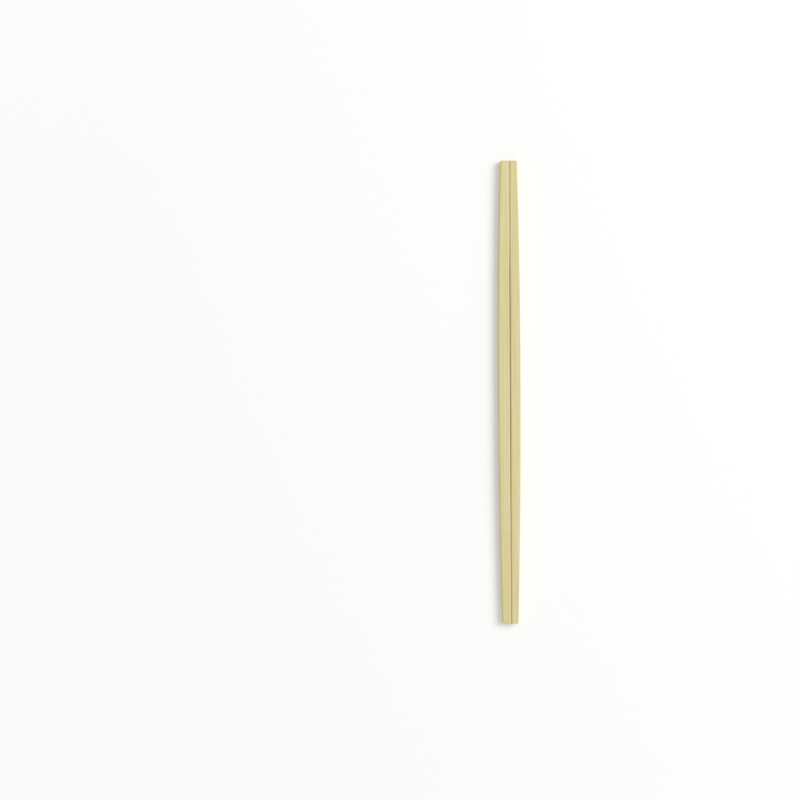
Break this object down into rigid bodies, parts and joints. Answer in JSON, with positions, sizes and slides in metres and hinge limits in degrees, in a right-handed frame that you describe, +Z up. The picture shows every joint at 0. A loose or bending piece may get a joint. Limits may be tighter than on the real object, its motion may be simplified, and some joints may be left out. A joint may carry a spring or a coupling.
{
  "type": "disposable chopsticks",
  "caption": "Disposable bamboo chopsticks, joined at a grooved head and parted by a fine slit, swelling slightly to the middle and slimmer at both ends.",
  "frame": {"origin": "centre of the pair's bounding box in X and Y, on the surface that the pair lies on", "axes": "+Y along the pair towards the joined head, +X across both sticks towards the narrower one, +Z up out of the broad face"},
  "size_m": [0.0098, 0.21, 0.0047],
  "materials": {
    "bamboo": "planed, matt to satin, unvarnished"
  },
  "bodies": {
    "root": {"chopstick_pair": "bamboo"}
  },
  "joints": []
}
